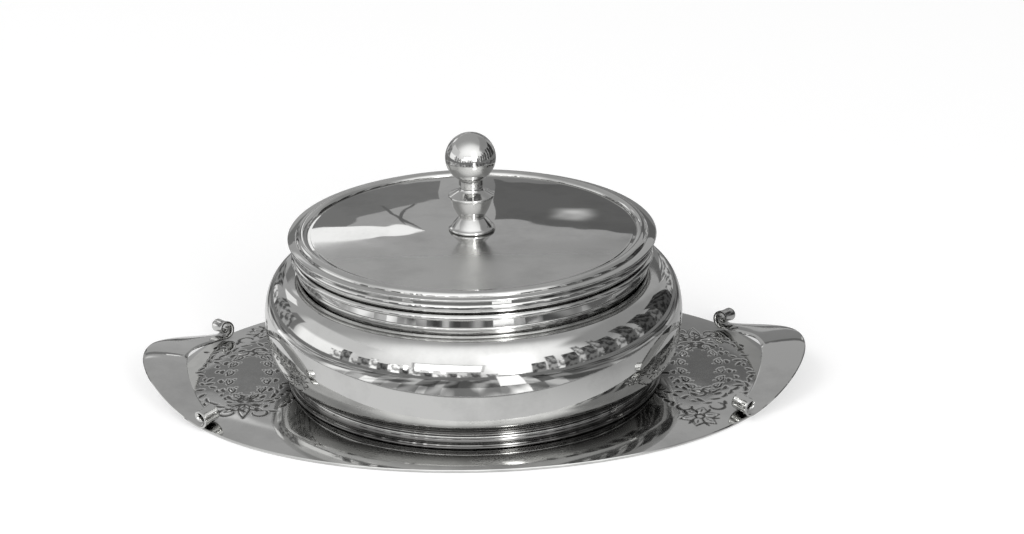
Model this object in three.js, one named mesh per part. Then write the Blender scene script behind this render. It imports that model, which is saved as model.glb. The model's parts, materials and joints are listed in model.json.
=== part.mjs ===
// Covered candy bowl: a round bowl with a lift-off lid, standing on an oval tray with two strap handles.
// Millimetres, +Z up. The origin is on the table under the middle of the tray; X runs from handle to handle.
import * as THREE from 'three';
import { mergeVertices } from 'three/addons/utils/BufferGeometryUtils.js';

// Tray plate: an oval sheet with a flat middle and a margin that droops to the table
const trayHalfLength = 139.6;
const trayHalfWidth = 101;
const traySheet = 1.2;
const trayDroop = 2.2;
const trayEdgeRound = 0.5;
const trayLand = 1.6;
const trayFlatShare = 0.82;
const trayMarginShares = [0.87, 0.91, 0.945, 0.975];

// Strap handles: a crescent of sheet over each end of the tray, rolled into a scroll at both ends
const strapOverhang = 10.9;
const strapInset = 11;
const strapSweep = THREE.MathUtils.degToRad(36);
const strapTipWidth = 20;
const strapEndWidth = 9.5;
const strapSheet = 1.4;
const strapCrown = 0.5;
const strapEdgeRound = 0.4;
const strapTipRise = 12.5;
const strapInnerRise = 10.2;
const strapArchPower = 1.2;
const scrollDiameter = 10.2;
const scrollEyeDiameter = 4.4;
const scrollEndWidth = 7;
const scrollTurn = THREE.MathUtils.degToRad(400);

// Clearances: between soldered or seated pieces, and between pieces that slide past each other
const seatGap = 0.3;
const slideGap = 0.6;

// Foot ring: a rounded lip on the tray, a cove above it and a small bead under the belly
const footHeight = 5.1;
const footTopRadius = 82;
const footFlare = 3;
const footWall = 3.2;
const footLipHeight = 1.4;
const footLipProud = 0.8;
const footFillet = 0.5;
const footBeadHeight = 1;
const footBeadProud = 0.6;

// Bowl: a wide belly drawn in to a neck, with a fine line round the neck and a bead below the mouth
const bellySwell = 12.3;
const bellyHeight = 30;
const neckWaist = 1.4;
const neckHeight = 51.6;
const neckTuck = 1.2;
const neckLineHeight = 1.5;
const neckLineProud = 0.6;
const mouthOuterRadius = 78.6;
const mouthRise = 10.4;
const bowlWall = 1.2;
const beadHeight = 3.4;
const beadProud = 2.6;
const beadTopDrop = 0.9;

// Shape of the belly: how far out of its swell, and up to its widest place or to the neck
const lowerBellyShares = { out: 0.72, up: 0.46 };
const shoulderShares = { out: 0.82, up: 0.87 };
const upperShoulderShares = { out: 0.5, up: 0.98 };

// Lid: a slightly domed disc inside a round moulding, a flat ledge with a lip, and a skirt
const lidOverhang = 2.6;
const lidLip = 1.4;
const lidLipHeight = 1.2;
const lidLedgeDrop = 1.2;
const lidRingWidth = 5.4;
const lidLedgeWidth = 3.6;
const lidRingRise = 0.8;
const lidGroove = 1.4;
const lidDiscDrop = 1.1;
const lidDiscRise = 0.8;
const lidSkirtHeight = 7.7;
const lidSkirtTuck = 0.8;
const lidSkirtBandHeight = 3.2;
const lidSheet = 1;
const collarWall = 1;
const collarDepth = 12.5;

// Knob: a ball on a turned pedestal of neck, cup, waist and flange, held by a stud through the lid
const knobFlangeRadius = 10.4;
const knobFlangeThickness = 1.6;
const knobFlangeRound = 0.8;
const knobDomeRadius = 8.4;
const knobDomeHeight = 3.2;
const knobWaistRadius = 6;
const knobWaistHeight = 5.9;
const knobWaistBand = 0.6;
const knobCupRadius = 8.4;
const knobCupHeight = 11.2;
const knobCollarRadius = 10.3;
const knobCollarHeight = 15.9;
const knobCollarThickness = 1.6;
const knobCollarRound = 0.6;
const knobNeckRadius = 5.5;
const knobNeckFlare = 1;
const knobNeckStart = 18.4;
const knobNeckHeight = 21.4;
const ballRadius = 11.3;
const ballCentreHeight = 33.9;
const studRadius = 2;
const studReach = 8;
const nutAcrossFlats = 7;
const nutThickness = 3.2;
const nutSides = 6;
const washerRadius = 6.5;
const washerThickness = 1;

// Fineness of the faceted surfaces
const roundSides = 48;
const knobSides = 24;
const studSides = 12;
const ovalSides = 72;
const strapSteps = 24;
const scrollSteps = 14;
const bellySteps = 13;
const bellyInsideSteps = 8;
const discSteps = 4;
const ballSteps = 12;
const ringSteps = 7;
const beadSteps = 5;
const fineSteps = 3;

// Directions in a profile, and how far a half-round moulding opens each side of level
const outward = 0;
const upward = Math.PI / 2;
const inward = Math.PI;
const beadOpening = THREE.MathUtils.degToRad(78);

// Sizes that follow from those above
const trayTop = traySheet + trayDroop;
const strapHalfLength = trayHalfLength + strapOverhang;
const strapHalfWidth = trayHalfWidth - strapInset;
const bowlBase = trayTop + footHeight;
const neckLevel = trayTop + neckHeight;
const mouthTop = neckLevel + mouthRise;
const footBottomRadius = footTopRadius + footFlare;
const bellyRadius = footTopRadius + bellySwell;
const neckRadius = mouthOuterRadius - neckWaist;
const mouthInnerRadius = mouthOuterRadius - bowlWall;
const lidTop = mouthTop + lidSkirtHeight;
const discUnderside = lidTop - lidSheet;
const lidSkirtRadius = mouthOuterRadius + lidOverhang;
const lidEdgeRadius = lidSkirtRadius + lidLip;
const lidRingOuterRadius = lidEdgeRadius - lidLedgeWidth;
const lidRingInnerRadius = lidRingOuterRadius - lidRingWidth;
const lidDiscRadius = lidRingInnerRadius - lidGroove;
const collarRadius = mouthInnerRadius - slideGap - seatGap;
const stemBore = studRadius + seatGap;

const silver = { color: 0xb4b4b4, roughness: 0.12, metalness: 1 };
const satinSilver = { color: 0xa6a6a6, roughness: 0.25, metalness: 1 };
const steel = { color: 0x8f9094, roughness: 0.35, metalness: 1 };

const model = new THREE.Group();

function addPiece(name, geometry, finish) {
  const piece = new THREE.Mesh(geometry, new THREE.MeshStandardMaterial(finish));
  piece.name = name;
  model.add(piece);
  return piece;
}

function point(r, z) {
  return new THREE.Vector2(r, z);
}

// Revolves a profile of radius and height round the Z axis
function turned(profile, sides) {
  const geometry = new THREE.LatheGeometry(profile, sides);
  geometry.rotateX(Math.PI / 2);
  return facingOut(geometry);
}

// A smooth run of profile points through the given ones
function smooth(points, steps) {
  return new THREE.SplineCurve(points).getPoints(steps);
}

// A stretch of an ellipse between two directions, in a profile
function bend(centre, rx, rz, from, to, steps) {
  const points = [];
  for (let i = 0; i <= steps; i++) {
    const a = THREE.MathUtils.lerp(from, to, i / steps);
    points.push(point(centre.x + rx * Math.cos(a), centre.y + rz * Math.sin(a)));
  }
  return points;
}

// A half-round moulding standing proud of a radius, from its lower to its upper edge
function bead(radius, middle, proud, height, steps) {
  return bend(point(radius, middle), proud, height / 2, -beadOpening, beadOpening, steps);
}

// Six times the volume that the faces enclose, positive when they face out
function signedVolume(geometry) {
  const position = geometry.getAttribute('position');
  const index = geometry.getIndex();
  const [a, b, c] = [new THREE.Vector3(), new THREE.Vector3(), new THREE.Vector3()];
  let total = 0;
  for (let i = 0; i < index.count; i += 3) {
    a.fromBufferAttribute(position, index.getX(i));
    b.fromBufferAttribute(position, index.getX(i + 1));
    c.fromBufferAttribute(position, index.getX(i + 2));
    total += a.dot(b.cross(c));
  }
  return total;
}

// Joins shared vertices, drops faces without area and turns the faces outward
function facingOut(geometry) {
  geometry.deleteAttribute('normal');
  geometry.deleteAttribute('uv');
  const merged = mergeVertices(geometry);
  const faces = merged.getIndex().array;
  const kept = [];
  for (let i = 0; i < faces.length; i += 3) {
    const [a, b, c] = [faces[i], faces[i + 1], faces[i + 2]];
    if (a !== b && b !== c && c !== a) {
      kept.push(a, b, c);
    }
  }
  merged.setIndex(kept);
  if (signedVolume(merged) < 0) {
    merged.setIndex(kept.reverse());
  }
  merged.computeVertexNormals();
  return merged;
}

// Skins a row of closed rings of equally many points, and closes both ends on their middles
function loft(rings) {
  const sides = rings[0].length;
  const vertices = rings.flat();
  const faces = [];
  for (let k = 0; k < rings.length - 1; k++) {
    for (let i = 0; i < sides; i++) {
      const j = (i + 1) % sides;
      const [a, b] = [k * sides + i, k * sides + j];
      const [c, d] = [a + sides, b + sides];
      faces.push(a, b, d, a, d, c);
    }
  }
  for (const [ring, flip] of [[0, true], [rings.length - 1, false]]) {
    const middle = new THREE.Vector3();
    rings[ring].forEach((corner) => middle.addScaledVector(corner, 1 / sides));
    vertices.push(middle);
    for (let i = 0; i < sides; i++) {
      const a = ring * sides + i;
      const b = ring * sides + ((i + 1) % sides);
      faces.push(...(flip ? [vertices.length - 1, b, a] : [vertices.length - 1, a, b]));
    }
  }
  const geometry = new THREE.BufferGeometry().setFromPoints(vertices);
  geometry.setIndex(faces);
  return facingOut(geometry);
}

// Height of the tray's top face at a place, following the droop of its margin
function trayTopAt(x, y) {
  const share = Math.hypot(x / trayHalfLength, y / trayHalfWidth);
  const out = THREE.MathUtils.clamp((share - trayFlatShare) / (1 - trayFlatShare), 0, 1);
  return trayTop - trayDroop * out * out;
}

// One ring of the tray: the outline drawn in to a share of its size, then by a length, at a height
function trayRing(share, inset, drop) {
  const ring = [];
  for (let i = 0; i < ovalSides; i++) {
    const a = (2 * Math.PI * i) / ovalSides;
    const x = (trayHalfLength * share - inset) * Math.cos(a);
    const y = (trayHalfWidth * share - inset) * Math.sin(a);
    ring.push(new THREE.Vector3(x, y, trayTopAt(x, y) - drop));
  }
  return ring;
}

function trayPlate() {
  const top = [trayFlatShare, ...trayMarginShares].map((share) => trayRing(share, 0, 0));
  const landInset = trayEdgeRound + trayLand;
  const edge = [
    trayRing(1, trayEdgeRound, 0),
    trayRing(1, 0, trayEdgeRound),
    trayRing(1, 0, traySheet - trayEdgeRound),
    trayRing(1, trayEdgeRound, traySheet).map((corner) => corner.setZ(0)),
    trayRing(1, landInset, traySheet).map((corner) => corner.setZ(0)),
  ];
  const under = [...trayMarginShares].reverse().map((share) => trayRing(share, 0, traySheet));
  under.push(trayRing(trayFlatShare, 0, traySheet));
  return loft([...top, ...edge, ...under]);
}

// Cross-section of the strap: a thin band with a slight crown and rounded edges
function strapSection(centre, across, up, width) {
  const half = width / 2;
  const thick = strapSheet / 2;
  const outline = [
    [strapEdgeRound - half, -thick],
    [0, strapCrown - thick],
    [half - strapEdgeRound, -thick],
    [half, 0],
    [half - strapEdgeRound, thick],
    [0, strapCrown + thick],
    [strapEdgeRound - half, thick],
    [-half, 0],
  ];
  return outline.map(([u, v]) => centre.clone().addScaledVector(across, u).addScaledVector(up, v));
}

// Outer and inner edge of the strap at an angle round the tray's end, raised between its two feet
function strapEdges(angle) {
  const outer = new THREE.Vector3(strapHalfLength * Math.cos(angle), strapHalfWidth * Math.sin(angle), 0);
  const away = new THREE.Vector3(Math.cos(angle) / strapHalfLength, Math.sin(angle) / strapHalfWidth, 0);
  const turnShare = angle / strapSweep;
  const width = THREE.MathUtils.lerp(strapTipWidth, strapEndWidth, turnShare ** 2);
  const inner = outer.clone().addScaledVector(away.normalize(), -width);
  const lift = Math.max(Math.cos((Math.PI / 2) * turnShare), 0) ** strapArchPower;
  const seat = seatGap + strapSheet / 2;
  const innerSeat = trayTopAt(inner.x, inner.y) + seat;
  const outerSeat = trayTopAt(outer.x, outer.y) + seat;
  inner.z = THREE.MathUtils.lerp(innerSeat, trayTop + strapInnerRise - strapSheet / 2, lift);
  outer.z = THREE.MathUtils.lerp(outerSeat, trayTop + strapTipRise - strapSheet / 2, lift);
  return { outer, inner };
}

// Stations of one scroll, which rolls up from the strap's end and back over it
function scrollStations(centre, across, ahead, width) {
  const up = new THREE.Vector3().crossVectors(across, ahead).normalize();
  if (up.z < 0) {
    up.negate();
  }
  const startRadius = (scrollDiameter - strapSheet) / 2;
  const endRadius = (scrollEyeDiameter - strapSheet) / 2;
  const eye = centre.clone().addScaledVector(up, startRadius);
  const stations = [];
  for (let i = 1; i <= scrollSteps; i++) {
    const share = i / scrollSteps;
    const turn = scrollTurn * share;
    const radius = THREE.MathUtils.lerp(startRadius, endRadius, share);
    const toEye = up.clone().multiplyScalar(Math.cos(turn)).addScaledVector(ahead, -Math.sin(turn));
    const place = eye.clone().addScaledVector(toEye, -radius);
    const bandWidth = THREE.MathUtils.lerp(width, scrollEndWidth, share);
    stations.push(strapSection(place, across, toEye, bandWidth));
  }
  return stations;
}

function strapHandle() {
  const arch = [];
  for (let i = 0; i <= strapSteps; i++) {
    const angle = strapSweep * ((2 * i) / strapSteps - 1);
    const { outer, inner } = strapEdges(angle);
    const across = outer.clone().sub(inner);
    const width = across.length();
    across.normalize();
    const step = strapSweep / strapSteps;
    const ahead = strapEdges(angle + step).outer.sub(strapEdges(angle - step).outer).normalize();
    const up = new THREE.Vector3().crossVectors(across, ahead).normalize();
    arch.push({ centre: outer.clone().add(inner).multiplyScalar(1 / 2), across, ahead, up, width });
  }
  const first = arch[0];
  const last = arch[arch.length - 1];
  const frontEnd = first.ahead.clone().negate();
  const front = scrollStations(first.centre, first.across, frontEnd, first.width);
  const rear = scrollStations(last.centre, last.across, last.ahead, last.width);
  const middle = arch.map((s) => strapSection(s.centre, s.across, s.up, s.width));
  return loft([...front.reverse(), ...middle, ...rear]);
}

// A place on the belly line: a share of the swell beyond a radius, and a height
function bellyPoint(radius, shares, height) {
  return point(THREE.MathUtils.lerp(radius, bellyRadius, shares.out), trayTop + height * shares.up);
}

// Outer line of the belly, from the foot to the neck
function bellyLine(steps) {
  return smooth([
    point(footTopRadius, bowlBase),
    bellyPoint(footTopRadius, lowerBellyShares, bellyHeight),
    point(bellyRadius, trayTop + bellyHeight),
    bellyPoint(neckRadius, shoulderShares, neckHeight),
    bellyPoint(neckRadius, upperShoulderShares, neckHeight),
    point(neckRadius, neckLevel),
  ], steps);
}

// The same line drawn in by the wall, for the inside
function drawnIn(line, wall) {
  return line.map((here, i) => {
    const before = line[Math.max(i - 1, 0)];
    const after = line[Math.min(i + 1, line.length - 1)];
    const along = after.clone().sub(before).normalize();
    return point(here.x - wall * along.y, here.y + wall * along.x);
  });
}

function bowlShell() {
  const lineBottom = neckLevel + neckTuck;
  const lineTop = lineBottom + neckLineHeight;
  const lineMiddle = lineBottom + neckLineHeight / 2;
  const inside = drawnIn(bellyLine(bellyInsideSteps), bowlWall).filter((p) => p.y > bowlBase + bowlWall);
  return turned([
    point(0, bowlBase),
    ...bellyLine(bellySteps),
    point(neckRadius, lineBottom),
    ...bead(mouthOuterRadius, lineMiddle, neckLineProud, neckLineHeight, fineSteps),
    point(mouthOuterRadius, lineTop),
    point(mouthOuterRadius, mouthTop),
    point(mouthInnerRadius, mouthTop),
    point(mouthInnerRadius, lineTop),
    point(neckRadius - bowlWall, lineBottom),
    ...inside.reverse(),
    point(footTopRadius - bowlWall - bowlWall, bowlBase + bowlWall),
    point(0, bowlBase + bowlWall),
  ], roundSides);
}

function bowlFootRing() {
  const inner = footTopRadius - footWall;
  const lipRadius = footBottomRadius - footLipProud;
  const coveBottom = trayTop + footLipHeight + footFillet;
  const coveTop = bowlBase - footBeadHeight;
  const coveCentre = point(lipRadius, coveTop);
  return turned([
    point(inner, trayTop),
    ...bead(lipRadius, trayTop + footLipHeight / 2, footLipProud, footLipHeight, fineSteps),
    ...bend(coveCentre, lipRadius - footTopRadius, coveTop - coveBottom, -upward, -inward, fineSteps),
    ...bead(footTopRadius, bowlBase - footBeadHeight / 2, footBeadProud, footBeadHeight, fineSteps),
    point(inner, bowlBase),
    point(inner, trayTop),
  ], roundSides);
}

function bowlRimBead() {
  const inner = mouthOuterRadius + seatGap;
  const bottom = mouthTop - beadTopDrop - beadHeight;
  return turned([
    point(inner, bottom),
    ...bead(inner, bottom + beadHeight / 2, beadProud, beadHeight, beadSteps),
    point(inner, bottom + beadHeight),
    point(inner, bottom),
  ], roundSides);
}

function lidShell() {
  const disc = [];
  for (let i = 0; i <= discSteps; i++) {
    const r = THREE.MathUtils.lerp(stemBore, lidDiscRadius, i / discSteps);
    disc.push(point(r, lidTop - lidDiscRise * (r / lidDiscRadius) ** 2));
  }
  const ledge = lidTop - lidLedgeDrop;
  const grooveLevel = lidTop - lidDiscDrop;
  const ringCentre = point((lidRingInnerRadius + lidRingOuterRadius) / 2, ledge);
  const ringHeight = lidRingRise + lidLedgeDrop;
  const lipRound = lidLipHeight / 2;
  const skirtWall = lidSkirtRadius - lidSkirtTuck;
  const bandMiddle = mouthTop + seatGap + lidSkirtBandHeight / 2;
  const rim = [
    point(lidDiscRadius, grooveLevel),
    point(lidRingInnerRadius, grooveLevel),
    ...bend(ringCentre, lidRingWidth / 2, ringHeight, inward, outward, ringSteps).slice(1),
    ...bead(lidEdgeRadius - lipRound, ledge - lipRound, lipRound, lidLipHeight, fineSteps).reverse(),
    point(skirtWall, ledge - lidLipHeight),
    ...bead(skirtWall, bandMiddle, lidSkirtTuck, lidSkirtBandHeight, fineSteps).reverse(),
    point(skirtWall, mouthTop),
  ];
  const underside = [
    point(collarRadius + seatGap, mouthTop),
    point(collarRadius + seatGap, discUnderside - lidDiscDrop),
    point(lidDiscRadius, discUnderside - lidDiscDrop),
  ];
  const discUnder = disc.map((p) => point(p.x, p.y - lidSheet)).reverse();
  return turned([...disc, ...rim, ...underside, ...discUnder.slice(1), disc[0]], roundSides);
}

function lidCollar() {
  const top = discUnderside - lidDiscDrop - seatGap;
  const bottom = lidTop - collarDepth;
  return turned([
    point(collarRadius - collarWall, bottom),
    point(collarRadius, bottom),
    point(collarRadius, top),
    point(collarRadius - collarWall, top),
    point(collarRadius - collarWall, bottom),
  ], roundSides);
}

function knobPedestal() {
  const flangeInner = knobFlangeRadius - knobFlangeRound;
  const flangeMiddle = lidTop + knobFlangeThickness / 2;
  const waistTop = lidTop + knobWaistHeight + knobWaistBand;
  const collarLevel = lidTop + knobCollarHeight;
  const collarInner = knobCollarRadius - knobCollarRound;
  return turned([
    point(stemBore, lidTop),
    ...bead(flangeInner, flangeMiddle, knobFlangeRound, knobFlangeThickness, fineSteps),
    point(knobDomeRadius, lidTop + knobDomeHeight),
    point(knobWaistRadius, lidTop + knobWaistHeight),
    ...smooth([
      point(knobWaistRadius, waistTop),
      point(knobCupRadius, lidTop + knobCupHeight),
      point(collarInner, collarLevel - knobCollarThickness / 2),
    ], beadSteps),
    ...bead(collarInner, collarLevel, knobCollarRound, knobCollarThickness, fineSteps),
    point(knobNeckRadius + knobNeckFlare, lidTop + knobNeckStart),
    point(knobNeckRadius, lidTop + knobNeckStart + knobNeckFlare),
    point(knobNeckRadius, lidTop + knobNeckHeight),
    point(stemBore, lidTop + knobNeckHeight),
    point(stemBore, lidTop),
  ], knobSides);
}

function knobBall() {
  const centre = point(0, lidTop + ballCentreHeight);
  const start = Math.asin(knobNeckRadius / ballRadius) - upward;
  return turned([
    centre,
    point(stemBore, centre.y),
    point(stemBore, lidTop + knobNeckHeight),
    point(knobNeckRadius, lidTop + knobNeckHeight),
    ...bend(centre, ballRadius, ballRadius, start, upward, ballSteps),
  ], knobSides);
}

function knobStud() {
  const top = lidTop + ballCentreHeight - seatGap;
  const bottom = discUnderside - studReach;
  const geometry = new THREE.CylinderGeometry(studRadius, studRadius, top - bottom, studSides);
  geometry.rotateX(Math.PI / 2);
  geometry.translate(0, 0, (top + bottom) / 2);
  return facingOut(geometry);
}

function lidWasher() {
  const top = discUnderside - seatGap;
  return turned([
    point(stemBore, top - washerThickness),
    point(washerRadius, top - washerThickness),
    point(washerRadius, top),
    point(stemBore, top),
    point(stemBore, top - washerThickness),
  ], knobSides);
}

function lidNut() {
  const outline = new THREE.Shape();
  const corner = nutAcrossFlats / 2 / Math.cos(Math.PI / nutSides);
  for (let i = 0; i < nutSides; i++) {
    const a = (2 * Math.PI * i) / nutSides;
    outline[i ? 'lineTo' : 'moveTo'](corner * Math.cos(a), corner * Math.sin(a));
  }
  outline.closePath();
  const hole = new THREE.Path();
  hole.absarc(0, 0, stemBore, 0, 2 * Math.PI, true);
  outline.holes.push(hole);
  const geometry = new THREE.ExtrudeGeometry(outline, {
    depth: nutThickness,
    bevelEnabled: false,
    curveSegments: studSides,
  });
  geometry.translate(0, 0, discUnderside - seatGap - washerThickness - nutThickness);
  return facingOut(geometry);
}

addPiece('tray_plate', trayPlate(), silver);
const rightHandle = addPiece('tray_handle_right', strapHandle(), silver);
const leftHandle = addPiece('tray_handle_left', rightHandle.geometry.clone(), silver);
leftHandle.rotation.z = Math.PI;

addPiece('bowl_foot_ring', bowlFootRing(), silver);
addPiece('bowl_shell', bowlShell(), silver);
addPiece('bowl_rim_bead', bowlRimBead(), silver);

addPiece('lid_shell', lidShell(), satinSilver);
addPiece('lid_collar', lidCollar(), silver);
addPiece('knob_pedestal', knobPedestal(), silver);
addPiece('knob_ball', knobBall(), silver);
addPiece('knob_stud', knobStud(), steel);
addPiece('knob_washer', lidWasher(), steel);
addPiece('knob_nut', lidNut(), steel);

export default model;
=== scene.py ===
# Covered candy bowl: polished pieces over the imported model, their metals, and a plain studio.
# Shapes are in millimetres until their mesh is made; lamps, cards and camera are in metres. +Z is up.
import json
import math

import bmesh
import bpy
import numpy as np
from mathutils import Matrix, Vector

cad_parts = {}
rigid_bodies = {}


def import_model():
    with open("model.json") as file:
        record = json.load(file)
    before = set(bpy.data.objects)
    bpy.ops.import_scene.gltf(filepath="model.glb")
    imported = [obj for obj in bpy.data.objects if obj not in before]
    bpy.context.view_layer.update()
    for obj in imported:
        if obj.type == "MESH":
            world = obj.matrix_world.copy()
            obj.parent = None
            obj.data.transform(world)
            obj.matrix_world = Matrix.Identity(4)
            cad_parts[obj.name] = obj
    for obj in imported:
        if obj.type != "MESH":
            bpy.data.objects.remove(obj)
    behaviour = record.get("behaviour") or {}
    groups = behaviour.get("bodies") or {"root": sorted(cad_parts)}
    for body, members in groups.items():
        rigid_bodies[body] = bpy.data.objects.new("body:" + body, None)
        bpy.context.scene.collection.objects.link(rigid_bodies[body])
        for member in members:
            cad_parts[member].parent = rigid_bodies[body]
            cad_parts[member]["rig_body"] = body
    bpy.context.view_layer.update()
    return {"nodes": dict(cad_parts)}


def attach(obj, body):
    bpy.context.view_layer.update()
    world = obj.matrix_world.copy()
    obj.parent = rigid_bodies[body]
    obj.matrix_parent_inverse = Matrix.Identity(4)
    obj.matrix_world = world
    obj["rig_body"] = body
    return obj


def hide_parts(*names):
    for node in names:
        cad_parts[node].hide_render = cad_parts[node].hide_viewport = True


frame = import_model()

MM = 0.001

# Tray
TRAY_HALF_LENGTH = 139.6
TRAY_HALF_WIDTH = 101
TRAY_SHEET = 1.2
TRAY_DROOP = 2.2
TRAY_FLAT_SHARE = 0.82
TRAY_EDGE_ROUND = 0.5
TRAY_LAND = 1.6
TRAY_TOP = TRAY_SHEET + TRAY_DROOP

# Strap handles
STRAP_HALF_LENGTH = TRAY_HALF_LENGTH + 10.9
STRAP_HALF_WIDTH = TRAY_HALF_WIDTH - 11
STRAP_SWEEP = math.radians(36)
STRAP_TIP_WIDTH = 20
STRAP_END_WIDTH = 9.5
STRAP_SHEET = 1.4
STRAP_CROWN = 0.5
STRAP_EDGE_POWER = 0.5
STRAP_TIP_RISE = 12.5
STRAP_INNER_RISE = 10.2
STRAP_ARCH_POWER = 1.2
SCROLL_DIAMETER = 10.2
SCROLL_EYE_DIAMETER = 4.4
SCROLL_END_WIDTH = 7
SCROLL_TURN = math.radians(400)

# Chased panels on the tray's ends, as the right one lies; the left one is the same turned half round
PANEL_CENTRE = (103, -2)
PANEL_HALF_SIZE = (9.5, 27)
PANEL_SWEEP = math.radians(49)
PANEL_SHARES = (0.63, 0.972)
LEAF_RISE = 0.3
LEAF_END_SHARE = 0.02
LEAF_FULLNESS = 0.75
CHASED_DEPTH = 0.34
CHASED_HALF_WIDTH = 0.55
CUT_END_SHARE = 0.03
FAT_CUT = 1.2
CUT_LENGTH = 3.8
CUT_SPACING = 5
PUNCH_RADIUS = 0.6
LEAN = 0.4
CURL = 0.9
FRAME_LEAVES = 8
FRAME_END_SHARE = 0.07
FRAME_LEAF = 6.2
FRAME_LEAF_WIDTH = 3
GROUND_ROWS = 3
GROUND_HALF_WIDTH = 40
GROUND_REACH = 125
WANDER = 2.6
WANDER_SHARE = 1 / 3
ROSETTE_CENTRE = (98.5, -54)
ROSETTE_TURN = 0.3
ROSETTE_EYE = 2.1
ROSETTE_EYE_WIDTH = CHASED_HALF_WIDTH * 0.7
ROSETTE_PETALS = 6
ROSETTE_PETAL = 7
ROSETTE_PETAL_WIDTH = 5.2
ROSETTE_RAY = 5
ROSETTE_RAY_WIDTH = 0.7
ROSETTE_RAY_CURL = 0.5
SCROLLWORK_LENGTH = 15
SCROLLWORK_WIDTH = 0.8
SPRAY_START = (103, 31)
SPRAY_CURL_SHARE = 0.7

# Curls of the scrollwork: where each starts, its heading and how far it turns
SCROLLWORK = (
    ((108, -27), -1.9, -4.6),
    ((97, -30), -1.3, 4.6),
    ((110, 24), 1.9, 4.6),
    ((95, 26), 1.3, -4.6),
    ((108, -40), -0.4, -4.2),
    ((91, -41), -2.6, 4.2),
    ((112, 36), 0.5, 4.2),
    ((94, 38), 2.5, -4.2),
)

# Leaves of the spray: how far each leans, its length and its width
SPRAY_LEAVES = (
    (0, 15, 5),
    (0.62, 11.5, 4),
    (-0.62, 11.5, 4),
    (1.15, 8, 3),
    (-1.15, 8, 3),
)

SEAT_GAP = 0.3
SLIDE_GAP = 0.6

# Foot ring
FOOT_HEIGHT = 5.1
FOOT_TOP_RADIUS = 82
FOOT_BOTTOM_RADIUS = 85
FOOT_WALL = 3.2
FOOT_LIP_HEIGHT = 1.4
FOOT_LIP_PROUD = 0.8
FOOT_FILLET = 0.5
FOOT_BEAD_HEIGHT = 1
FOOT_BEAD_PROUD = 0.6
BOWL_BASE = TRAY_TOP + FOOT_HEIGHT

# Bowl
BELLY_RADIUS = 94.3
BELLY_HEIGHT = 30
NECK_RADIUS = 77.2
NECK_HEIGHT = 51.6
NECK_TUCK = 1.2
NECK_LINE_HEIGHT = 1.5
NECK_LINE_PROUD = 0.6
MOUTH_OUTER_RADIUS = 78.6
BOWL_WALL = 1.2
BEAD_HEIGHT = 3.4
BEAD_PROUD = 2.6
BEAD_TOP_DROP = 0.9
NECK_LEVEL = TRAY_TOP + NECK_HEIGHT
MOUTH_TOP = NECK_LEVEL + 10.4
MOUTH_INNER_RADIUS = MOUTH_OUTER_RADIUS - BOWL_WALL
LOWER_BELLY_SHARES = (0.72, 0.46)
SHOULDER_SHARES = (0.82, 0.87)
UPPER_SHOULDER_SHARES = (0.5, 0.98)

# Lid
LID_TOP = MOUTH_TOP + 7.7
LID_SKIRT_RADIUS = 81.2
LID_EDGE_RADIUS = 82.6
LID_LIP_HEIGHT = 1.2
LID_LEDGE_DROP = 1.2
LID_RING_OUTER_RADIUS = 79
LID_RING_INNER_RADIUS = 73.6
LID_RING_RISE = 0.8
LID_DISC_RADIUS = 72.2
LID_DISC_DROP = 1.1
LID_DISC_RISE = 0.8
LID_SKIRT_TUCK = 0.8
LID_SKIRT_BAND_HEIGHT = 3.2
LID_SHEET = 1
COLLAR_RADIUS = MOUTH_INNER_RADIUS - SLIDE_GAP - SEAT_GAP

# Knob
FLANGE_RADIUS = 10.4
FLANGE_THICKNESS = 1.6
FLANGE_ROUND = 0.8
DOME_RADIUS = 8.4
DOME_HEIGHT = 3.2
WAIST_RADIUS = 6
WAIST_HEIGHT = 5.9
WAIST_BAND = 0.6
CUP_RADIUS = 8.4
CUP_HEIGHT = 11.2
KNOB_COLLAR_RADIUS = 10.3
KNOB_COLLAR_HEIGHT = 15.9
KNOB_COLLAR_THICKNESS = 1.6
KNOB_COLLAR_ROUND = 0.6
KNOB_NECK_RADIUS = 5.5
KNOB_NECK_FLARE = 1
KNOB_NECK_START = 18.4
KNOB_NECK_HEIGHT = 21.4
BALL_RADIUS = 11.3
BALL_CENTRE_HEIGHT = 33.9
STEM_BORE = 2.3

# Silver plate: colour and roughness of each kind, and its clouds, scratches, painted shade in creases and
# swell in metres
SILVERS = {
    "silver_polish": ((0.69, 0.69, 0.68), 0.04),
    "silver_under": ((0.66, 0.66, 0.65), 0.06),
    "silver_plain": ((0.69, 0.69, 0.68), 0.04),
    "silver_chased": ((0.68, 0.68, 0.67), 0.05),
    "silver_soft": ((0.68, 0.68, 0.67), 0.012),
}
# The dark colour: the patina left in the chased cuts, and painted shade in creases, low on the bowl and foot,
# and on the tray round the foot.
TARNISH_AND_SHADE = (0.09, 0.088, 0.085)
CLOUD_SPREAD = (0.45, 0.75)
CLOUD_TONE_SHARE = 0.8
SCRATCH_SPREAD = (0.35, 0.8)
SCRATCH_STRETCH = (1, 1, 7)
CREASE_SHADE_WIDTH = 0.003
CREASE_SHADE_SPREAD = (0.25, 0.75)
CREASE_SHADE_SHARE = 0.4
RECESS_SPREAD = (0.1, 0.6)
RECESS_SHARE = 0.93
RECESS_ROUGHNESS = 0.3
WORN_ROUGHNESS = 0.36
SWELL_HEIGHT = 0.0006
SWELL_SHARE = 0.35

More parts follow.
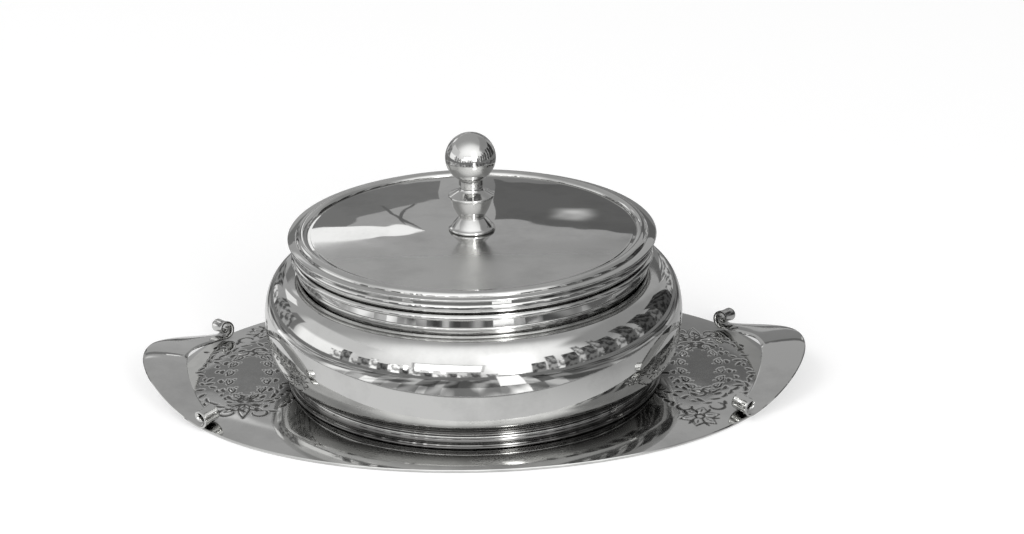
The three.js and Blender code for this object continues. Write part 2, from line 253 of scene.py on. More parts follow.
# Painted shade round the hollow under the belly: the axes it is measured along, where it is whole, where it
# ends, and its share
UPRIGHT = (0, 0, 1)
LEVEL = (1, 1, 0)
BELLY_PAINTED_SHADE = (UPRIGHT, 0.011, 0.018, 0.6)
FOOT_PAINTED_SHADE = (UPRIGHT, 0.0068, 0.0078, 0.86)
TRAY_PAINTED_SHADE = (LEVEL, 0.085, 0.092, 0.8)

# The lid's worn disc: its radius, and where along Y it is fully dull and where that ends
WORN_DISC = (LID_DISC_RADIUS * MM, -0.042, -0.008)

# Steel of the fixings
STEEL_TONES = ((0.46, 0.47, 0.49, 1), (0.6, 0.61, 0.62, 1))
STEEL_ROUGHNESS = (0.26, 0.44)

# Noises: how many patches to a metre, how many finer layers, and how strong each finer layer is
CLOUD_NOISE = (38, 6, 0.62)
SCRATCH_NOISE = (420, 3, 0.7)
SWELL_NOISE = (22, 2, 0.4)
STEEL_NOISE = (900, 4, 0.6)
CLUTTER_NOISE = (24, 1, 0.5)

# The photograph: its size, the lid's middle and the focal length in pixels, and the camera in metres
PHOTO_SIZE = (1024, 534)
LID_MIDDLE_PIXEL = (472, 228.5)
FOCAL_PIXELS = 3000
CAMERA_PLACE = (0, -1.2572, 0.5482)
CAMERA_PITCH = math.radians(20.7)
CAMERA_ROLL = math.radians(1.2)
CAMERA_CLIP = (0.05, 50)
SENSOR_WIDTH = 36

# Soft lamps: azimuth, elevation, distance, size and power
LAMPS = {
    "window_lamp": (21, 24, 2.4, (0.6, 1.2), 16),
    "left_lamp": (-66, 52, 2.6, (1.4, 1.4), 16),
}

# Room round the metal, in metres
ROOM_CENTRE = Vector((0, 0, 0.03))
ROOM_REACH = 3
ROOM_LEAN = (-0.15, -0.96, 0.35)
ROOM_LEAN_SPREAD = (0.1, 1)
ROOM_STRENGTHS = (0.44, 1)
CLUTTER = 0.6
CLUTTER_SPREAD = (0.42, 0.58)
CLUTTER_STRETCH_SHARE = 0.35

# Floor and table top: half-sizes, the width and brightness of the painted shadow along the table's edge,
# brightness and where the table's shade runs along X
STUDIO_FLOOR_SIZE = 14
STUDIO_FLOOR_COLOUR = (0.6, 0.6, 0.6, 1)
FLOOR_LIFT = 0.5
SHEET_LEVEL = MM
TABLE_HALF_SIZE = (0.2, 0.158)
TABLE_SHADE_SPREAD = (0.02, 0.15)
TABLE_STRENGTHS = (0.78, 0.4)
TABLE_EDGE_SHADOW_WIDTH = 0.004
TABLE_EDGE_SHADOW_STRENGTH = 0.3
NEAR_FLOOR_HALF_SIZE = (0.25, 0.205)
WIDE_FLOOR_HALF_SIZE = (0.42, 0.38)
WIDE_FLOOR_SHARE = 0.5
WIDE_FLOOR_TURN = 5
FAR_FLOOR_STRENGTH = 0.22
SUN_PATCH = (10, 21)
SUN_PATCH_REACH = (0.212, 0.9)
SUN_PATCH_STRENGTH = 1.6
ALL_ROUND = (-180, 180)

# Things that stand round the table: azimuths from and to, top elevation and brightness
THINGS_FOOT = -9
THINGS_DISTANCE = 0.9
THINGS = (
    (-160, -147, 18, 0.2),
    (-147, -136, 8, 0.6),
    (-136, -127, 21, 0.24),
    (-127, -113, 17, 0.3),
    (-79, -72, 10, 0.75),
    (-72, -66, 16, 0.2),
    (-66, -61, 6, 0.7),
    (-61, -54, 12, 0.24),
    (-54, -50, 15, 0.9),
    (-50, -44, 10, 0.14),
    (-44, -38, 12, 1.3),
    (-38, -33, 7, 0.17),
    (-33, -27, 9, 0.8),
    (-27, -21, 4, 0.2),
    (-21, -14, 2, 0.9),
    (-14, -9, 5, 0.26),
    (-9, -4, 2, 0.9),
    (-4, 3, 6, 0.28),
    (3, 11, 3, 0.6),
    (28.5, 36, 15, 0.2),
    (37, 42, 24, 0.3),
    (42, 46, 13, 0.7),
    (46, 54, 21, 0.13),
    (54, 58, 31, 0.46),
    (58, 65, 24, 0.14),
    (65, 69, 33, 0.3),
    (69, 78, 27, 0.1),
    (78, 84, 16, 0.34),
    (84, 93, 33, 0.09),
    (93, 98, 14, 0.3),
    (98, 110, 30, 0.06),
    (110, 117, 22, 0.13),
    (117, 136, 28, 0.05),
    (136, 147, 12, 0.36),
    (147, 160, 20, 0.4),
)

# The floor near the table: azimuths from and to, and brightness
NEAR_FLOOR = (
    (-180, -112, 0.5),
    (-112, -70, 0.95),
    (-70, -50, 0.75),
    (-50, -42, 0.4),
    (-42, -36, 0.85),
    (-36, -32, 0.5),
    (-32, -26, 0.8),
    (-26, -19, 0.34),
    (-19, -16, 0.8),
    (-16, -11, 0.38),
    (-11, 1, 0.6),
    (1, 8, 0.75),
    (8, 13, 0.95),
    (13, 18, 1),
    (18, 24, 0.2),
    (24, 32, 0.42),
    (32, 40, 0.22),
    (40, 56, 0.24),
    (56, 94, 0.34),
    (94, 108, 0.14),
    (108, 180, 0.3),
)

# Large surfaces in the room: azimuths, elevations, brightness, distance and how much fades at the edge
ROOM_SURFACES = {
    "window": ((13, 27), (-5, 40), 12, 2, 0.9),
    "window_blaze": ((0, 38), (-20, 54), 2.2, 2.05, 1),
    "bright_gap_1": ((-36, -34), (4, 14), 5, 0.86, 0.4),
    "bright_gap_2": ((-30, -27.6), (5, 13), 5, 0.86, 0.4),
    "bright_gap_3": ((-22.6, -21), (4, 12), 4, 0.86, 0.4),
    "bright_gap_4": ((-17, -14.6), (3, 9), 3.5, 0.86, 0.4),
    "window_wall": ((-56, 66), (-2, 88), 1.4, 2.6, 1),
    "window_strip": ((-31, 3), (8, 21), 2.2, 2.1, 0),
    "window_strip_frame": ((-32.5, 4.5), (7, 22.4), 0.45, 2.2, 0),
    "dark_cupboard": ((62, 150), (20, 60), 0.34, 2.3, 0.5),
    "left_curtain": ((-114, -62), (-6, 20), 1.25, 1.2, 0.5),
    "left_wall": ((-120, -58), (15, 42), 0.75, 1.4, 0.4),
    "left_doorway": ((-122, -109), (0, 25), 0.22, 1.1, 0.2),
    "back_window": ((-151, -138), (21, 31), 1.15, 1.2, 0.1),
    "back_lamp": ((-171, -158), (25, 29.4), 0.8, 1.2, 0.8),
    "wardrobe_gleam": ((173.2, 176), (21.2, 22.3), 0.7, 1.04, 1),
    "far_wall_low": ((148, 178.9), (2, 20.2), 0.26, 1.14, 0),
}

# Shapes on the far wall that the lid mirrors: distance, brightness and corners as azimuth and elevation
FAR_WALL_SHAPES = {
    "wardrobe": (1.1, 0.15, (
        (150, 18.6), (178.9, 18.6), (178.9, 22), (176, 22.5), (172.6, 22.9), (150, 23),
    )),
    "far_door": (1.04, 1.2, (
        (-177.6, 22.9), (-176, 22.3), (-172.8, 22), (-171, 22.2), (-171, 23.7), (-174.6, 23.3),
    )),
    "far_drape": (1.08, 0.22, (
        (-178.4, 20.3), (-176.1, 20.7), (-174.6, 21.2), (-173.6, 21.8), (-172.9, 22.9),
        (-160, 23), (-160, 18.6), (-178.4, 18.6),
    )),
    "chair_rail": (1.03, 0.16, (
        (-175.2, 20.6), (-175.8, 21.5), (-176.5, 22.3), (-177.6, 22.9),
        (-176.7, 22.2), (-176, 21.4), (-175.4, 20.6),
    )),
    "chair_post": (1.03, 0.16, (
        (-177.2, 20.6), (-176.5, 21.2), (-176.25, 21.9), (-176.5, 22.6),
        (-176.1, 21.9), (-176.3, 21.2), (-177, 20.6),
    )),
}

# Fineness
ROUND_SIDES = 192
STRAP_SIDES = 20
STRAP_STEPS = 72
SCROLL_STEPS = 42
PANEL_SIDES = 330
PLAIN_SIDES = 56
PANEL_RINGS = 106
MARGIN_RINGS = 6
CUT_STEPS = 8
SCROLLWORK_STEPS = 16
ROSETTE_EYE_SIDES = 12
DISC_STEPS = 24
KNOB_SIDES = 96
CURVE_STEPS = 40
LID_RING_STEPS = 20
BEAD_STEPS = 10
FINE_STEPS = 6
FLOOR_STEPS = 48

# Directions in a profile, and how far a half-round moulding opens each side of level
OUTWARD = 0
UPWARD = math.pi / 2
INWARD = math.pi
BEAD_OPENING = math.radians(78)
SHARP_EDGE = math.radians(32)


def make_piece(name, points, faces, metal, node):
    """A smooth piece from points in millimetres, which stands for a node and rides on its body."""
    mesh = bpy.data.meshes.new(name)
    mesh.from_pydata([tuple(p) for p in np.asarray(points, float) * MM], [], faces)
    shell = bmesh.new()
    shell.from_mesh(mesh)
    bmesh.ops.recalc_face_normals(shell, faces=shell.faces)
    shell.to_mesh(mesh)
    shell.free()
    mesh.shade_smooth()
    mesh.set_sharp_from_angle(angle=SHARP_EDGE)
    mesh.materials.append(metal)
    piece = bpy.data.objects.new(name, mesh)
    bpy.context.scene.collection.objects.link(piece)
    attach(piece, frame["nodes"][node]["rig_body"])
    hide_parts(node)
    return piece


def turned(name, profile, sides, metal, node):
    """A profile of (radius, height) pairs, closed and turned round the Z axis."""
    points, rows = [], []
    for r, z in profile:
        if r == 0:
            rows.append([len(points)] * sides)
            points.append((0, 0, z))
            continue
        rows.append(list(range(len(points), len(points) + sides)))
        for i in range(sides):
            angle = math.tau * i / sides
            points.append((r * math.cos(angle), r * math.sin(angle), z))
    faces = []
    for low, high in zip(rows, rows[1:] + rows[:1]):
        for i in range(sides):
            j = (i + 1) % sides
            corners = list(dict.fromkeys([low[i], low[j], high[j], high[i]]))
            if len(corners) > 2:
                faces.append(corners)
    return make_piece(name, points, faces, metal, node)


def loft(name, rings, metal, node):
    """Skins a row of closed rings of equally many points and closes both ends."""
    sides = len(rings[0])
    points = [corner for ring in rings for corner in ring]
    faces = [list(range(sides)), list(range(len(points) - sides, len(points)))]
    for k in range(len(rings) - 1):
        for i in range(sides):
            a, b = k * sides + i, k * sides + (i + 1) % sides
            faces.append([a, b, b + sides, a + sides])
    return make_piece(name, points, faces, metal, node)


def smooth(through, steps):
    """A curve through the given points whose bend changes gradually, as even steps along it."""
    through = np.array(through, float)
    along = np.concatenate([[0], np.cumsum(np.linalg.norm(np.diff(through, axis=0), axis=1))])
    gaps = np.diff(along)
    count = len(through)
    system = np.eye(count)
    bends = np.zeros_like(through)
    for i in range(1, count - 1):
        system[i, i - 1 : i + 2] = gaps[i - 1], 2 * (gaps[i - 1] + gaps[i]), gaps[i]
        slopes = (through[i + 1] - through[i]) / gaps[i] - (through[i] - through[i - 1]) / gaps[i - 1]
        bends[i] = 6 * slopes
    bends = np.linalg.solve(system, bends)
    curve = []
    for s in np.linspace(0, along[-1], steps + 1):
        i = min(int(np.searchsorted(along, s, side="right")) - 1, count - 2)
        left, right, gap = s - along[i], along[i + 1] - s, gaps[i]
        bent = (bends[i] * right**3 + bends[i + 1] * left**3) / (6 * gap)
        straight_left = (through[i] / gap - bends[i] * gap / 6) * right
        straight_right = (through[i + 1] / gap - bends[i + 1] * gap / 6) * left
        curve.append(tuple(bent + straight_left + straight_right))
    return curve


def bend(centre, rx, rz, start, end, steps):
    """A stretch of an ellipse between two directions, in a profile."""
    angles = np.linspace(start, end, steps + 1)
    return [(centre[0] + rx * math.cos(a), centre[1] + rz * math.sin(a)) for a in angles]


def bead(radius, middle, proud, height, steps):
    """A half-round moulding standing proud of a radius, from its lower to its upper edge."""
    return bend((radius, middle), proud, height / 2, -BEAD_OPENING, BEAD_OPENING, steps)


def lerp(a, b, share):
    return a + (b - a) * share


# Metals


def add(tree, kind, settings=None, **inputs):
    """A node with its settings and its inputs, where an input is a number or another node's output."""
    made = tree.nodes.new(kind)
    for key, value in (settings or {}).items():
        setattr(made, key, value)
    for key, value in inputs.items():
        socket = made.inputs[int(key[1:])] if key[1:].isdigit() else made.inputs[key.replace("_", " ")]
        if isinstance(value, bpy.types.NodeSocket):
            tree.links.new(value, socket)
        else:
            socket.default_value = value
    return made


def blank_metal(name):
    """A new metal's node tree, its shader and the place on the object."""
    metal = bpy.data.materials.new(name)
    metal.use_nodes = True
    shader = metal.node_tree.nodes["Principled BSDF"]
    shader.inputs["Metallic"].default_value = 1
    place = metal.node_tree.nodes.new("ShaderNodeTexCoord").outputs["Object"]
    return metal, metal.node_tree, shader, place


def ranged(tree, value, spread, low, high, kind="LINEAR"):
    """The value, taken from its spread to run between low and high."""
    limits = {"From_Min": spread[0], "From_Max": spread[1], "To_Min": low, "To_Max": high}
    made = add(tree, "ShaderNodeMapRange", {"interpolation_type": kind}, Value=value, **limits)
    return made.outputs["Result"]


def blended(tree, share, first, second):
    """A colour between two, where each is a colour or another node's output."""
    made = add(tree, "ShaderNodeMix", {"data_type": "RGBA"}, _6=first, _7=second)
    tree.links.new(share, made.inputs["Factor"])
    return made.outputs[2]


def maths(tree, operation, first, second):
    return add(tree, "ShaderNodeMath", {"operation": operation}, _0=first, _1=second).outputs[0]


def vector_maths(tree, operation, first, second=(0, 0, 0)):
    return add(tree, "ShaderNodeVectorMath", {"operation": operation}, _0=first, _1=second).outputs


def noise(tree, place, scale, detail, roughness):
    made = add(tree, "ShaderNodeTexNoise", Vector=place, Scale=scale, Detail=detail, Roughness=roughness)
    return made.outputs["Fac"]


def distance_along(tree, place, axes):
    """How far a place is from the middle, measured along some axes only."""
    masked = vector_maths(tree, "MULTIPLY", place, axes)[0]
    return vector_maths(tree, "LENGTH", masked)["Value"]


# Darkens a colour by the share: the patina left in the chased cuts, and painted shade in creases and round
# the hollow under the belly.
def tarnished_and_shaded(tree, colour, share):
    return blended(tree, share, colour, (*TARNISH_AND_SHADE, 1))


def silver(name, recess=None, painted_shade=None, worn=None):
    """Silver plate with a cloudy tone, polishing scratches, creases darkened by painted shade and a slight
    swell of the sheet.

    The recess is a named mark on the mesh where patina stays in the chased cuts. The painted shade is where
    the colour is darkened to stand for shade round the hollow under the belly, and worn is where the surface
    is dull.
    """
    tone, roughness = SILVERS[name]
    metal, tree, shader, place = blank_metal(name)
    clouds = ranged(tree, noise(tree, place, *CLOUD_NOISE), CLOUD_SPREAD, 0, 1)
    colour = blended(tree, clouds, (*tone, 1), (*[part * CLOUD_TONE_SHARE for part in tone], 1))
    rubbed = add(tree, "ShaderNodeMapping", Vector=place, Scale=SCRATCH_STRETCH).outputs[0]
    scratches = noise(tree, rubbed, *SCRATCH_NOISE)
    rough = ranged(tree, scratches, SCRATCH_SPREAD, roughness, roughness * 2)
    # Painted shade: the colour darkens where the ambient occlusion finds a crease close by.
    openness = add(tree, "ShaderNodeAmbientOcclusion", {"samples": 8}, Distance=CREASE_SHADE_WIDTH).outputs["AO"]
    colour = tarnished_and_shaded(tree, colour, ranged(tree, openness, CREASE_SHADE_SPREAD, CREASE_SHADE_SHARE, 0))
    if recess:
        mark = add(tree, "ShaderNodeAttribute", {"attribute_name": recess}).outputs["Fac"]
        colour = tarnished_and_shaded(tree, colour, ranged(tree, mark, RECESS_SPREAD, 0, RECESS_SHARE))
        rough = maths(tree, "ADD", rough, ranged(tree, mark, (0, 1), 0, RECESS_ROUGHNESS))
    # Painted shade: darker low on the bowl and the foot, and on the tray close round the foot, where the
    # hollow under the belly lies in shade.
    if painted_shade:
        axes, whole, end, share = painted_shade
        away = distance_along(tree, place, axes)
        colour = tarnished_and_shaded(tree, colour, ranged(tree, away, (whole, end), share, 0))
    if worn:
        radius, front, rear = worn
        inside = ranged(tree, distance_along(tree, place, LEVEL), (radius - MM, radius), 1, 0)
        along = add(tree, "ShaderNodeSeparateXYZ", Vector=place).outputs["Y"]
        dull = maths(tree, "MULTIPLY", inside, ranged(tree, along, (front, rear), WORN_ROUGHNESS, 0))
        rough = maths(tree, "ADD", rough, dull)
    tree.links.new(colour, shader.inputs["Base Color"])
    tree.links.new(rough, shader.inputs["Roughness"])
    swell = noise(tree, place, *SWELL_NOISE)
    wave = add(tree, "ShaderNodeBump", Height=swell, Strength=SWELL_SHARE, Distance=SWELL_HEIGHT)
    tree.links.new(wave.outputs["Normal"], shader.inputs["Normal"])
    return metal


def machined_steel(name):
    """Plain steel with fine mottled machining marks."""
    metal, tree, shader, place = blank_metal(name)
    marks = noise(tree, place, *STEEL_NOISE)
    tree.links.new(blended(tree, marks, *STEEL_TONES), shader.inputs["Base Color"])
    tree.links.new(ranged(tree, marks, (0, 1), *STEEL_ROUGHNESS), shader.inputs["Roughness"])
    return metal


# Tray


def tray_top_at(x, y):
    """Height of the tray's top face, following the droop of its margin."""
    share = np.hypot(x / TRAY_HALF_LENGTH, y / TRAY_HALF_WIDTH)
    out = np.clip((share - TRAY_FLAT_SHARE) / (1 - TRAY_FLAT_SHARE), 0, 1)
    return TRAY_TOP - TRAY_DROOP * out * out


def tray(metal):
    """The oval plate, with a fine mesh where its ends are chased."""
    panel = np.linspace(-PANEL_SWEEP, PANEL_SWEEP, PANEL_SIDES, endpoint=False)
    plain = np.linspace(PANEL_SWEEP, math.pi - PANEL_SWEEP, PLAIN_SIDES, endpoint=False)
    angles = np.concatenate([panel, plain, panel + math.pi, plain + math.pi])
    inner = np.linspace(0, PANEL_SHARES[0], MARGIN_RINGS, endpoint=False)[1:]
    margin = np.linspace(PANEL_SHARES[1], 1, MARGIN_RINGS, endpoint=False)
    shares = np.concatenate([inner, np.linspace(*PANEL_SHARES, PANEL_RINGS, endpoint=False), margin])
    under = [*inner, *np.linspace(TRAY_FLAT_SHARE, PANEL_SHARES[1], MARGIN_RINGS)]

    def ring(share, inset=0):
        x = (TRAY_HALF_LENGTH * share - inset) * np.cos(angles)
        y = (TRAY_HALF_WIDTH * share - inset) * np.sin(angles)
        return np.column_stack([x, y, tray_top_at(x, y)])

    def lowered(points, drop):
        return points - np.array([0, 0, drop])

    def on_table(points):
        return points * np.array([1, 1, 0])

    top = np.array([ring(share) for share in shares])
    raised, recess = chasing(top[:, :, 0], top[:, :, 1])
    top[:, :, 2] += raised
    rings = [
        *top,
        ring(1, TRAY_EDGE_ROUND),
        lowered(ring(1), TRAY_EDGE_ROUND),
        lowered(ring(1), TRAY_SHEET - TRAY_EDGE_ROUND),
        on_table(ring(1, TRAY_EDGE_ROUND)),
        on_table(ring(1, TRAY_EDGE_ROUND + TRAY_LAND)),
        *[lowered(ring(share), TRAY_SHEET) for share in reversed(under)],
    ]
    piece = loft("tray", rings, metal, "tray_plate")
    marks = np.zeros(len(piece.data.vertices))
    marks[: recess.size] = recess.ravel()
    piece.data.attributes.new("recess", "FLOAT", "POINT").data.foreach_set("value", marks)


# Chasing


def nearest_on(line, x, y):
    """Least distance from each place to a line, and the share along the line where it is met."""
    gap = np.full(x.shape, np.inf)
    share = np.zeros(x.shape)
    for k, ((ax, ay), (bx, by)) in enumerate(zip(line, line[1:])):
        dx, dy = bx - ax, by - ay
        along = np.clip(((x - ax) * dx + (y - ay) * dy) / (dx * dx + dy * dy), 0, 1)
        here = np.hypot(x - ax - along * dx, y - ay - along * dy)
        share = np.where(here < gap, (k + along) / (len(line) - 1), share)
        gap = np.minimum(gap, here)
    return gap, share


class Panel:
    """One chased end: where its points lie, how far each is raised and how deep it is cut."""

    def __init__(self, x, y):
        self.x, self.y = x, y
        self.raised = np.zeros(x.shape)
        self.cut = np.zeros(x.shape)

    def near(self, line, reach):
        low, high = np.min(line, axis=0) - reach, np.max(line, axis=0) + reach
        across = (self.x > low[0]) & (self.x < high[0])
        return across & (self.y > low[1]) & (self.y < high[1])

    def stroke(self, line, half_width=CHASED_HALF_WIDTH):
        """A cut that swells in its middle and fades at both ends."""
        here = self.near(line, half_width)
        gap, share = nearest_on(line, self.x[here], self.y[here])
        width = half_width * np.sqrt(np.sin(math.pi * np.clip(share, CUT_END_SHARE, 1 - CUT_END_SHARE)))
        self.cut[here] = np.maximum(self.cut[here], np.clip(1 - (gap / width) ** 2, 0, 1))

    def leaf(self, start, heading, length, width, curl=0):
        """A raised leaf with a cut outline and midrib, bent to one side."""
        rib = curved(start, heading, length, curl)
        here = self.near(rib, width)
        gap, share = nearest_on(rib, self.x[here], self.y[here])
        share = np.clip(share, LEAF_END_SHARE, 1 - LEAF_END_SHARE)
        half = width / 2 * np.sin(math.pi * share**LEAF_FULLNESS)
        body = np.clip(1 - (gap / half) ** 2, 0, 1)
        self.raised[here] = np.maximum(self.raised[here], LEAF_RISE * np.sqrt(body))
        outline = np.exp(-(((gap - half) / (CHASED_HALF_WIDTH / 2)) ** 2))
        self.cut[here] = np.maximum(self.cut[here], outline)
        self.stroke(rib[1:-2], CHASED_HALF_WIDTH / 2)

    def dot(self, place, radius):
        """A small round punch mark."""
        gap = np.hypot(self.x - place[0], self.y - place[1])
        self.cut = np.maximum(self.cut, np.clip(1 - (gap / radius) ** 2, 0, 1))


def curved(start, heading, length, curl, steps=CUT_STEPS):
    """A line from a place, whose heading turns evenly by the curl."""
    turn = heading + curl * np.linspace(0, 1, steps)
    x = start[0] + np.concatenate([[0], np.cumsum(np.cos(turn))]) * length / steps
    y = start[1] + np.concatenate([[0], np.cumsum(np.sin(turn))]) * length / steps
    return np.column_stack([x, y])


def moved(place, heading, distance):
    return (place[0] + distance * math.cos(heading), place[1] + distance * math.sin(heading))


def on_oval(angle, spread=0):
    """A place round the panel's plain middle, moved out by the spread, and the way it faces there."""
    half_x, half_y = PANEL_HALF_SIZE
    facing = math.atan2(math.sin(angle) / half_y, math.cos(angle) / half_x)
    place = (PANEL_CENTRE[0] + half_x * math.cos(angle), PANEL_CENTRE[1] + half_y * math.sin(angle))
    return moved(place, facing, spread), facing


def oval_frame(panel):
    """Leaves that run up both sides of the plain middle, with a fat cut and a punch mark beside each."""
    for side in (-1, 1):
        for share in np.linspace(FRAME_END_SHARE, 1 - FRAME_END_SHARE, FRAME_LEAVES):
            rise = math.pi * (share - 0.5)
            angle = rise if side > 0 else math.pi - rise
            place, facing = on_oval(angle)
            along = facing + side * UPWARD
            panel.leaf(place, along + side * LEAN, FRAME_LEAF, FRAME_LEAF_WIDTH, -side * CURL)
            outside, _ = on_oval(angle, FRAME_LEAF_WIDTH)
            panel.stroke(curved(outside, along - side * LEAN, CUT_LENGTH, side * CURL), FAT_CUT)
            panel.dot(on_oval(angle, -FRAME_LEAF_WIDTH)[0], PUNCH_RADIUS)


def ground_cuts(panel):
    """Rows of short fat cuts that follow the frame outwards and fill the ground, none quite like the next."""
    for row in range(1, GROUND_ROWS + 1):
        spread = FRAME_LEAF_WIDTH / 2 + row * CUT_SPACING
        half_x, half_y = PANEL_HALF_SIZE[0] + spread, PANEL_HALF_SIZE[1] + spread
        count = round(math.pi * (half_x + half_y) / CUT_SPACING)
        for i in range(count):
            wander = math.sin(row * WANDER + i * WANDER * WANDER)
            place, facing = on_oval(math.tau * (i + row / 2) / count, spread + wander)
            if abs(place[1]) < GROUND_HALF_WIDTH and place[0] < GROUND_REACH:
                heading = facing + wander * UPWARD
                length = CUT_LENGTH * (1 + wander * WANDER_SHARE)
                width = FAT_CUT * (1 - abs(wander) * WANDER_SHARE)
                panel.stroke(curved(place, heading, length, wander * CURL), width)


def rosette(panel):
    """A flower with a ring for its eye and cut rays between its petals."""
    for i in range(ROSETTE_PETALS):
        heading = math.tau * i / ROSETTE_PETALS + ROSETTE_TURN
        start = moved(ROSETTE_CENTRE, heading, ROSETTE_EYE)
        panel.leaf(start, heading, ROSETTE_PETAL, ROSETTE_PETAL_WIDTH)
        between = heading + math.pi / ROSETTE_PETALS
        start = moved(ROSETTE_CENTRE, between, 2 * ROSETTE_EYE)
        panel.stroke(curved(start, between, ROSETTE_RAY, ROSETTE_RAY_CURL), ROSETTE_RAY_WIDTH)
    turns = np.linspace(0, math.tau, ROSETTE_EYE_SIDES + 1)
    eye = [moved(ROSETTE_CENTRE, turn, ROSETTE_EYE) for turn in turns]
    gap, _ = nearest_on(eye, panel.x, panel.y)
    panel.cut = np.maximum(panel.cut, np.exp(-((gap / ROSETTE_EYE_WIDTH) ** 2)))


def scrolls(panel):
    """Curls that lead from the frame towards the rosette and the spray."""
    for place, heading, curl in SCROLLWORK:
        line = curved(place, heading, SCROLLWORK_LENGTH, curl, SCROLLWORK_STEPS)
        panel.stroke(line, SCROLLWORK_WIDTH)


def spray(panel):
    """Three long leaves and two short ones that end the panel."""
    for lean, length, width in SPRAY_LEAVES:
        panel.leaf(SPRAY_START, UPWARD + lean, length, width, lean * SPRAY_CURL_SHARE)


def chasing(x, y):
    """How far the tray's points are raised by the chasing, and how deep they lie in its cuts."""
    raised, recess = np.zeros(x.shape), np.zeros(x.shape)
    for side in (1, -1):
        end = x * side > 0
        panel = Panel(x[end] * side, y[end] * side)
        for motif in (oval_frame, ground_cuts, rosette, scrolls, spray):
            motif(panel)
        raised[end] = panel.raised - CHASED_DEPTH * panel.cut
        recess[end] = panel.cut
    return raised, recess


# Strap handles


def strap_section(centre, across, up, width):
    """A thin band with a slight crown and rounded edges."""
    half, thick = width / 2, STRAP_SHEET / 2
    outline = []
    for i in range(STRAP_SIDES):
        angle = math.tau * i / STRAP_SIDES
        u = math.copysign(abs(math.cos(angle)) ** STRAP_EDGE_POWER, math.cos(angle))
        v = math.copysign(abs(math.sin(angle)) ** STRAP_EDGE_POWER, math.sin(angle))
        outline.append((half * u, thick * v + STRAP_CROWN * (1 - u * u)))
    return [centre + across * u + up * v for u, v in outline]


def strap_edges(angle):
    """Outer and inner edge of the strap at an angle round the tray's end."""
    outer = Vector((STRAP_HALF_LENGTH * math.cos(angle), STRAP_HALF_WIDTH * math.sin(angle), 0))
    away = Vector((math.cos(angle) / STRAP_HALF_LENGTH, math.sin(angle) / STRAP_HALF_WIDTH, 0)).normalized()
    turn_share = angle / STRAP_SWEEP
    width = lerp(STRAP_TIP_WIDTH, STRAP_END_WIDTH, turn_share**2)
    inner = outer - away * width
    lift = max(math.cos(math.pi / 2 * turn_share), 0) ** STRAP_ARCH_POWER
    seat = SEAT_GAP + STRAP_SHEET / 2
    inner.z = lerp(tray_top_at(inner.x, inner.y) + seat, TRAY_TOP + STRAP_INNER_RISE - STRAP_SHEET / 2, lift)
    outer.z = lerp(tray_top_at(outer.x, outer.y) + seat, TRAY_TOP + STRAP_TIP_RISE - STRAP_SHEET / 2, lift)
    return outer, inner


def scroll(centre, across, ahead, width):
    """Sections of one scroll, which rolls up from the strap's end and back over it."""
    up = across.cross(ahead).normalized()
    if up.z < 0:
        up.negate()
    start_radius = (SCROLL_DIAMETER - STRAP_SHEET) / 2
    end_radius = (SCROLL_EYE_DIAMETER - STRAP_SHEET) / 2
    eye = centre + up * start_radius
    sections = []
    for i in range(1, SCROLL_STEPS + 1):
        share = i / SCROLL_STEPS
        turn = SCROLL_TURN * share
        to_eye = up * math.cos(turn) - ahead * math.sin(turn)
        place = eye - to_eye * lerp(start_radius, end_radius, share)
        sections.append(strap_section(place, across, to_eye, lerp(width, SCROLL_END_WIDTH, share)))
    return sections


def strap_handle(name, turn, metal, node):
    arch = []
    for i in range(STRAP_STEPS + 1):
        angle = STRAP_SWEEP * (2 * i / STRAP_STEPS - 1)
        outer, inner = strap_edges(angle)
        nudge = STRAP_SWEEP / STRAP_STEPS
        ahead = (strap_edges(angle + nudge)[0] - strap_edges(angle - nudge)[0]).normalized()
        across = (outer - inner).normalized()
        arch.append(((outer + inner) / 2, across, ahead, (outer - inner).length))
    centre, across, ahead, width = arch[0]
    front = scroll(centre, across, -ahead, width)
    centre, across, ahead, width = arch[-1]
    rear = scroll(centre, across, ahead, width)
    middle = [strap_section(c, a, a.cross(h).normalized(), w) for c, a, h, w in arch]
    spin = Matrix.Rotation(turn, 3, "Z")
    rings = [[spin @ corner for corner in ring] for ring in [*reversed(front), *middle, *rear]]
    return loft(name, rings, metal, node)


# Bowl


def belly_point(radius, shares, height):
    return (lerp(radius, BELLY_RADIUS, shares[0]), TRAY_TOP + height * shares[1])


def belly_line():
    """Outer line of the belly, from the foot to the neck."""
    return smooth([
        (FOOT_TOP_RADIUS, BOWL_BASE),
        belly_point(FOOT_TOP_RADIUS, LOWER_BELLY_SHARES, BELLY_HEIGHT),
        (BELLY_RADIUS, TRAY_TOP + BELLY_HEIGHT),
        belly_point(NECK_RADIUS, SHOULDER_SHARES, NECK_HEIGHT),
        belly_point(NECK_RADIUS, UPPER_SHOULDER_SHARES, NECK_HEIGHT),
        (NECK_RADIUS, NECK_LEVEL),
    ], CURVE_STEPS)


def drawn_in(line, wall):
    """The same line drawn in by the wall, for the inside."""
    drawn = []
    for i, (r, z) in enumerate(line):
        before, after = line[max(i - 1, 0)], line[min(i + 1, len(line) - 1)]
        dr, dz = after[0] - before[0], after[1] - before[1]
        length = math.hypot(dr, dz)
        drawn.append((r - wall * dz / length, z + wall * dr / length))
    return drawn


